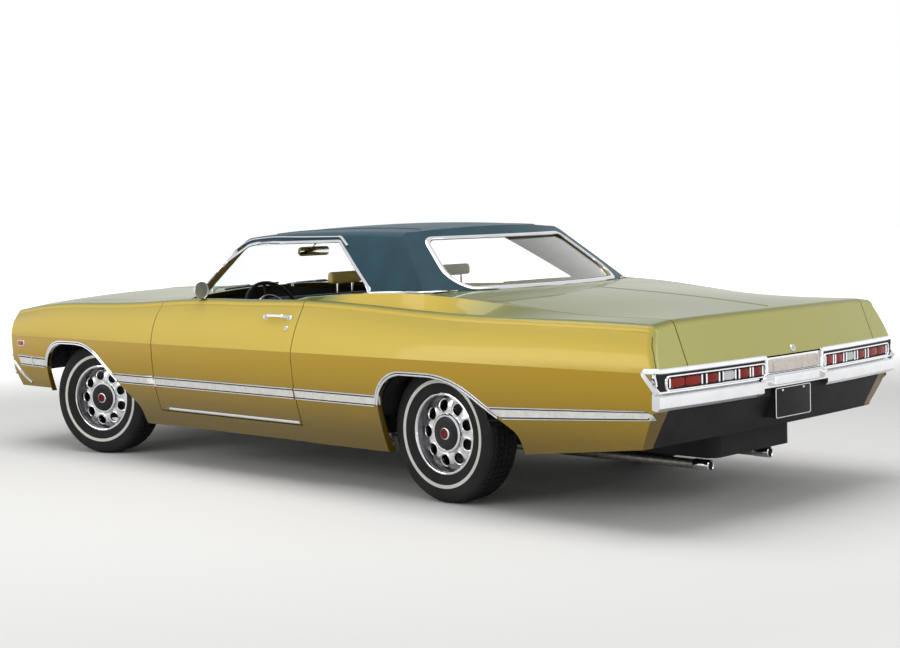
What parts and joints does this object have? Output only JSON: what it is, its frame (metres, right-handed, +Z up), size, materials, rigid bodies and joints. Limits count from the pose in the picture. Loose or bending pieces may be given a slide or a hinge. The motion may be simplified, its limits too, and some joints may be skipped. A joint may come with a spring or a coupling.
{
  "type": "hardtop coupe",
  "caption": "Long two-door hardtop car with a vinyl roof, open side windows, steered front wheels, opening doors, hood and trunk lid.",
  "frame": {"origin": "bottom centre of the bounding box, on the ground under the middle of the car", "axes": "+X forward, +Y to the left side of the car, +Z up"},
  "size_m": [5.6078, 2.0144, 1.395],
  "materials": {
    "paint": "glossy gold-yellow paint",
    "roof_vinyl": "grained dark blue-green vinyl",
    "glass": "clear, faint green tint",
    "chrome": "polished",
    "grille_metal": "satin",
    "lamp_red": "ribbed red lens",
    "lamp_clear": "clear lens",
    "tyre_rubber": "black with a narrow white band",
    "chassis_black": "dull black",
    "cast_iron": "as cast, painted dark",
    "exhaust_steel": "dull",
    "seat_vinyl": "gold vinyl",
    "dash_plastic": "dark padded"
  },
  "bodies": {
    "body": {"fender_left": "paint", "fender_right": "paint", "quarter_left": "paint", "quarter_right": "paint", "cowl_panel": "paint", "rear_deck": "paint", "rocker_panels": "paint", "roof": "roof_vinyl", "windshield": "glass", "rear_window": "glass", "bumper_front": "chrome", "bumper_rear": "chrome", "grille": "grille_metal", "tail_lamps": "lamp_red", "headlamps": "lamp_clear", "floor_pan": "chassis_black", "front_subframe": "chassis_black", "tail_panel": "chassis_black", "fuel_tank": "chassis_black", "radiator": "chassis_black", "leaf_springs": "chassis_black", "engine": "cast_iron", "driveline": "cast_iron", "rear_axle": "cast_iron", "exhaust": "exhaust_steel", "front_seat": "seat_vinyl", "rear_seat": "seat_vinyl", "dashboard": "dash_plastic", "steering_column": "dash_plastic"},
    "hood": {"hood": "paint"},
    "trunk_lid": {"trunk_lid": "paint"},
    "door_left": {"door_left": "paint", "door_mirror": "chrome"},
    "door_right": {"door_right": "paint"},
    "knuckle_left": {"knuckle_left": "cast_iron"},
    "knuckle_right": {"knuckle_right": "cast_iron"},
    "wheel_front_left": {"wheel_front_left": "chrome", "tyre_front_left": "tyre_rubber"},
    "wheel_front_right": {"wheel_front_right": "chrome", "tyre_front_right": "tyre_rubber"},
    "wheel_rear_left": {"wheel_rear_left": "chrome", "tyre_rear_left": "tyre_rubber"},
    "wheel_rear_right": {"wheel_rear_right": "chrome", "tyre_rear_right": "tyre_rubber"},
    "steering_wheel": {"steering_wheel": "dash_plastic"}
  },
  "joints": [
    {"name": "hood_hinge", "type": "hinge", "parent": "body", "child": "hood", "pos_m": [1.008, 0, 1.0295], "axis": [0, -1, 0], "range_deg": [0, 50]},
    {"name": "trunk_hinge", "type": "hinge", "parent": "body", "child": "trunk_lid", "pos_m": [-1.504, 0, 1.0475], "axis": [0, 1, 0], "range_deg": [0, 60]},
    {"name": "door_left_hinge", "type": "hinge", "parent": "body", "child": "door_left", "pos_m": [0.898, 0.96, 0.68], "axis": [0, 0, -1], "range_deg": [0, 60]},
    {"name": "door_right_hinge", "type": "hinge", "parent": "body", "child": "door_right", "pos_m": [0.898, -0.96, 0.68], "axis": [0, 0, 1], "range_deg": [0, 60]},
    {"name": "steering_turn", "type": "hinge", "parent": "body", "child": "steering_wheel", "pos_m": [0.59, 0.385, 0.88], "axis": [-0.9135, 0, 0.4067], "range_deg": [-829.95, 259.05]},
    {"name": "steer_left", "type": "hinge", "parent": "body", "child": "knuckle_left", "pos_m": [1.804, 0.6905, 0.35], "axis": [0, 0, 1], "range_deg": [-50.4, 15.8]},
    {"name": "steer_right", "type": "hinge", "parent": "body", "child": "knuckle_right", "pos_m": [1.804, -0.6905, 0.35], "axis": [0, 0, 1], "range_deg": [-50.4, 15.8]},
    {"name": "wheel_front_left_spin", "type": "hinge", "parent": "knuckle_left", "child": "wheel_front_left", "pos_m": [1.77486, 0.78407, 0.35], "axis": [-0.2974, 0.9548, 0], "continuous": true},
    {"name": "wheel_rear_left_spin", "type": "hinge", "parent": "body", "child": "wheel_rear_left", "pos_m": [-1.295, 0.771, 0.35], "axis": [0, 1, 0], "continuous": true},
    {"name": "wheel_front_right_spin", "type": "hinge", "parent": "knuckle_right", "child": "wheel_front_right", "pos_m": [1.83314, -0.78407, 0.35], "axis": [-0.2974, 0.9548, 0], "continuous": true},
    {"name": "wheel_rear_right_spin", "type": "hinge", "parent": "body", "child": "wheel_rear_right", "pos_m": [-1.295, -0.771, 0.35], "axis": [0, 1, 0], "continuous": true}
  ],
  "couplings": [
    {"joint": "steer_left", "follows": "steering_turn", "ratio": 0.060606},
    {"joint": "steer_right", "follows": "steering_turn", "ratio": 0.060606}
  ]
}
